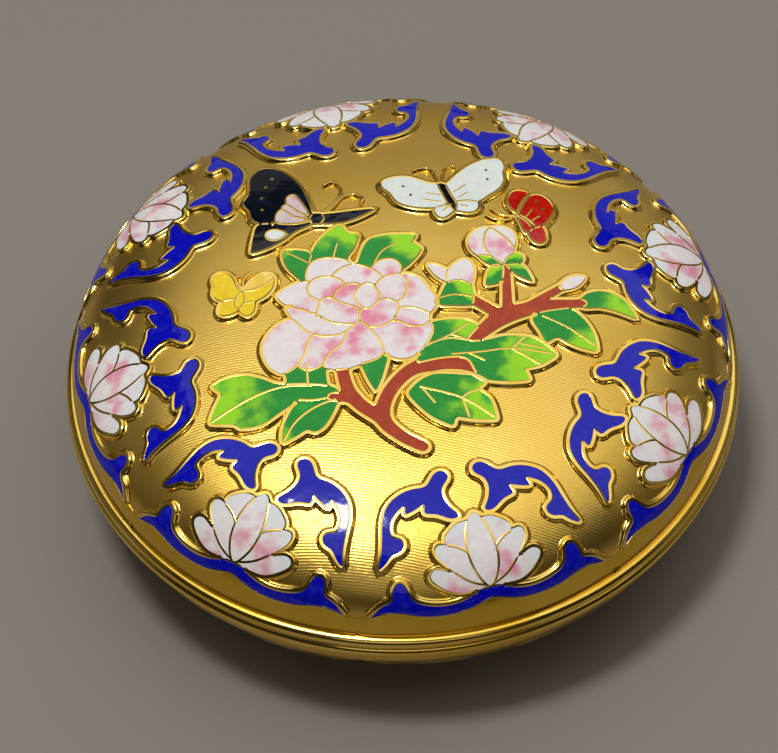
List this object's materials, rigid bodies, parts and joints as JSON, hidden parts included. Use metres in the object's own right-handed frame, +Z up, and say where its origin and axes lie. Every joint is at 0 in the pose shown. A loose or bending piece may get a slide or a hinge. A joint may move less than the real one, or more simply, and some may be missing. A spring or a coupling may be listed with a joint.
{
  "type": "cloisonne enamel box",
  "caption": "Round domed trinket box with a lift-off lid: raised enamelled flowers, scrolls and butterflies on gilt metal, beaded rims and a low foot ring.",
  "frame": {"origin": "middle of the foot ring's underside, where the box stands", "axes": "+Z up, -Y to the side nearest the viewer, below the spray's foot, +X to the right of it"},
  "size_m": [0.1146, 0.1146, 0.0404],
  "materials": {
    "gilt_brass": "gilt, finely engraved ground and polished edges",
    "enamel_cobalt": "polished opaque enamel",
    "enamel_pink": "polished enamel, white clouded with pink",
    "enamel_green": "polished enamel, green shading to yellow-green",
    "enamel_brown": "polished opaque enamel",
    "enamel_black": "polished opaque enamel",
    "enamel_white": "polished opaque enamel",
    "enamel_yellow": "polished opaque enamel",
    "enamel_red": "polished opaque enamel"
  },
  "bodies": {
    "root": {"lid": "gilt_brass", "lid_rim": "gilt_brass", "base": "gilt_brass", "base_rim": "gilt_brass", "inner_collar": "gilt_brass", "foot_ring": "gilt_brass"}
  },
  "joints": []
}
